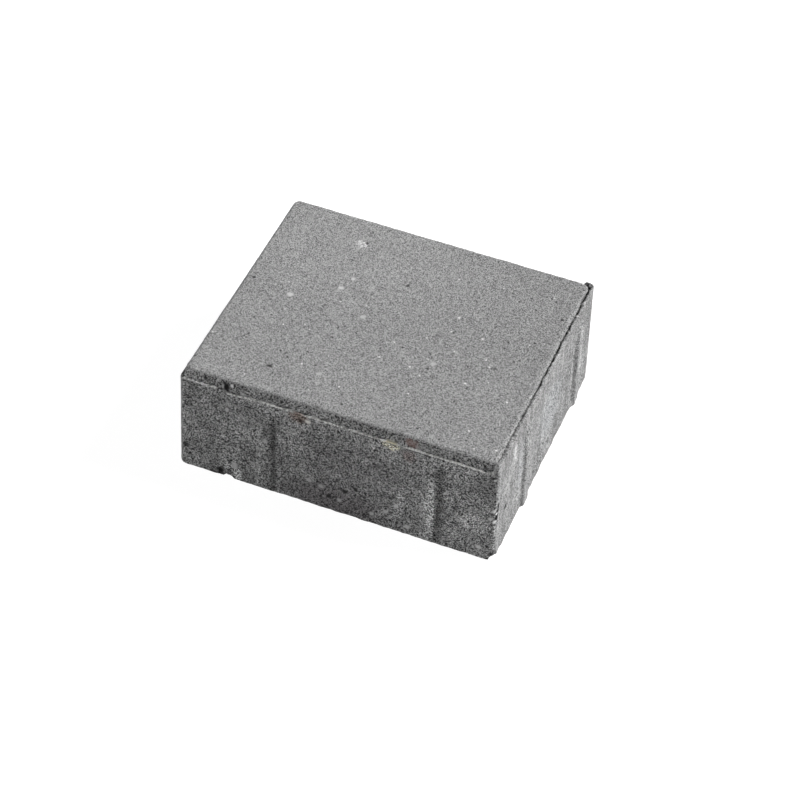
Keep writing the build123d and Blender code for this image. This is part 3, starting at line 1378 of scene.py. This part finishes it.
DRAGGED_MARKS = (
    Mark((103.5, 63.0, 34.0), (4.0, 3.4, 34.0), grey(0.54), 0.6, 1.2),
    # Painted shade: darker strips on the front flanks of the right side's two ribs
    Mark((103.5, 54.5, 32.0), (4.0, 3.4, 34.0), grey(0.12), 0.45, 1.2),
    Mark((103.5, -38.4, 33.0), (4.0, 3.0, 36.0), grey(0.12), 0.5, 1.2),
    Mark((104.8, -33.0, 32.0), (3.0, 3.6, 34.0), grey(0.46), 0.35, 1.2),
    Mark((102.3, -56.3, 62.0), (3.0, 6.5, 14.0), grey(0.5), 0.7, 0.7),
    Mark((102.3, -56.3, 64.0), (2.8, 3.0, 9.0), grey(0.7), 0.4, 0.8),
    Mark((102.6, -62.9, 49.4), (3.0, 2.4, 3.6), grey(0.6), 0.5, 0.8),
    Mark((102.6, -67.0, 47.1), (3.0, 2.4, 3.2), grey(0.6), 0.55, 0.8),
    Mark((102.7, -72.0, 45.4), (3.0, 2.4, 3.0), grey(0.6), 0.5, 0.8),
    Mark((103.5, -44.0, 40.0), (4.0, 7.0, 30.0), (0.5, 0.51, 0.52), 0.4, 1.4),
    Mark((103.0, 10.0, 40.0), (4.0, 26.0, 26.0), (0.42, 0.435, 0.45), 0.4, 1.4),
    Mark((103.0, 78.0, 50.0), (4.0, 8.0, 26.0), grey(0.22), 0.45, 1.4),
    # Painted shade: near-black at the top of the back right corner, in the gap behind the tall burr
    Mark((101.6, 85.0, 79.8), (3.4, 4.6, 2.4), grey(0.02), 0.95, 0.6),
    *EDGE_PIT_SHADE_AND_GRAINS,
)
BEVEL_MARKS = (
    # Painted shade: black in the chip broken out of the front bevel
    Mark((-71.7, -85.0, 75.0), (2.8, 4.0, 4.4), grey(0.01), 1.0, 0.7),
    Mark((-74.0, -85.1, 75.0), (0.9, 2.0, 2.2), grey(0.7), 0.85, 0.3),
    Mark((-68.1, -84.3, 77.2), (1.7, 2.0, 1.9), grey(0.9), 0.95, 0.3),
    Mark((-66.4, -84.0, 77.7), (1.3, 2.0, 1.9), grey(0.02), 0.95, 0.4),
    Mark((93.4, -84.5, 76.0), (11.0, 3.5, 6.0), grey(0.36), 0.5, 1.0),
    Mark((47.0, -84.8, 76.6), (6.0, 2.6, 4.2), (0.35, 0.24, 0.22), 0.6, 1.3),
    Mark((35.0, -86.2, 73.4), (5.0, 2.4, 1.6), (0.66, 0.63, 0.52), 0.6, 1.6),
    CORNER_GAP_SHADE,
    # Painted shade: darkens the right bevel in the crevice behind the tall burr
    Mark((101.0, 40.0, 75.5), (3.0, 85.0, 5.5), grey(0.05), 0.85, 1.0),
    # Painted shade: darkens the left bevel, which faces away from the key lamp
    Mark((-101.0, 0.0, 76.5), (2.6, 95.0, 3.6), grey(0.1), 0.6, 1.0),
)
LIP_MARKS = (
    # Pale cement along the front lip, whitened further as a painted highlight on its crest, which the
    # bevel shades from the key lamp
    Mark((15.0, -86.4, 73.0), (170.0, 4.0, 5.0), (0.88, 0.88, 0.86), 0.95, 1.2),
    Mark((35.0, -86.2, 73.2), (5.0, 2.4, 1.6), (0.85, 0.8, 0.6), 0.9, 0.8),
    Mark((-24.5, -86.2, 73.0), (4.5, 3.0, 3.0), (0.34, 0.24, 0.2), 0.75, 0.8),
    Mark((-75.0, -86.4, 73.0), (4.0, 3.0, 3.0), grey(0.12), 0.9, 0.8),
    Mark((-90.0, -86.4, 73.0), (12.0, 3.0, 3.0), grey(0.85), 0.8, 1.2),
    Mark((101.5, -85.0, 74.0), (4.0, 4.0, 6.0), grey(0.16), 0.9, 0.8),
    CORNER_GAP_SHADE,
)
WALKING = ConcreteFinish(
    "walking_surface", grey(0.323), grain=0.38, grain_contrast=1.8, cloud_size=45.0, cloud_contrast=0.2,
    streak_contrast=0.0, pale_share=0.16, dark_share=0.2, bump=0.5, marks=WALKING_MARKS,
)
MOULDED = ConcreteFinish(
    "moulded_side", grey(0.29), grain=0.54, grain_contrast=3.9, cloud_size=18.0, cloud_contrast=1.3,
    streak_contrast=0.5, pale_share=0.4, dark_share=0.4, bump=0.8, marks=SIDE_MARKS,
)
DRAGGED = ConcreteFinish(
    "dragged_side", grey(0.303), grain=0.6, grain_contrast=1.8, cloud_size=22.0, cloud_contrast=0.8,
    streak_contrast=1.4, pale_share=0.06, dark_share=0.25, bump=0.4, marks=DRAGGED_MARKS,
)
PRESSED = ConcreteFinish(
    "pressed_bevel", grey(0.26), grain=0.6, grain_contrast=3.2, cloud_size=20.0, cloud_contrast=0.8,
    streak_contrast=0.0, pale_share=0.25, dark_share=0.35, bump=0.7, marks=BEVEL_MARKS,
)
REAR = ConcreteFinish(
    "rear_side", grey(0.31), grain=0.6, grain_contrast=2.0, cloud_size=18.0, cloud_contrast=0.8,
    streak_contrast=0.4, pale_share=0.3, dark_share=0.3, bump=0.5,
)
# Pale cement on the lip and burr; its first mark adds a painted highlight along the front lip
CEMENT_LIP_AND_HIGHLIGHT = ConcreteFinish(
    "cement_lip_and_highlight", grey(0.42), grain=0.9, grain_contrast=1.3, cloud_size=9.0, cloud_contrast=0.6,
    streak_contrast=0.0, pale_share=0.1, dark_share=0.1, bump=0.3, marks=LIP_MARKS,
)


def main() -> None:
    """Build the stone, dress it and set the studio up."""
    logging.basicConfig(level=logging.INFO, format="%(name)s: %(message)s")
    groups = ShaderGroups()
    rear = REAR.material(groups)
    finishes = {
        Zone.SIDE: MOULDED.material(groups),
        Zone.LIP: CEMENT_LIP_AND_HIGHLIGHT.material(groups),
        Zone.BEVEL: PRESSED.material(groups),
        Zone.WALKING: WALKING.material(groups),
        Zone.BEDDING: rear,
        Zone.DRAGGED: DRAGGED.material(groups),
        Zone.REAR: rear,
    }
    stone = StoneBody(bites=BITES)
    body = stone.build(finishes, SkinRelief())
    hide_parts(NODE)
    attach(body, "root")
    body.data.calc_loop_triangles()
    LOG.info("%s: %d triangles", body.name, len(body.data.loop_triangles))
    studio = Studio()
    studio.aim_camera(-stone.half_width * MM)
    studio.light()
    floor = studio.lay_floor()
    LOG.info("%s: laid", floor.name)


if __name__ == "__main__":
    main()
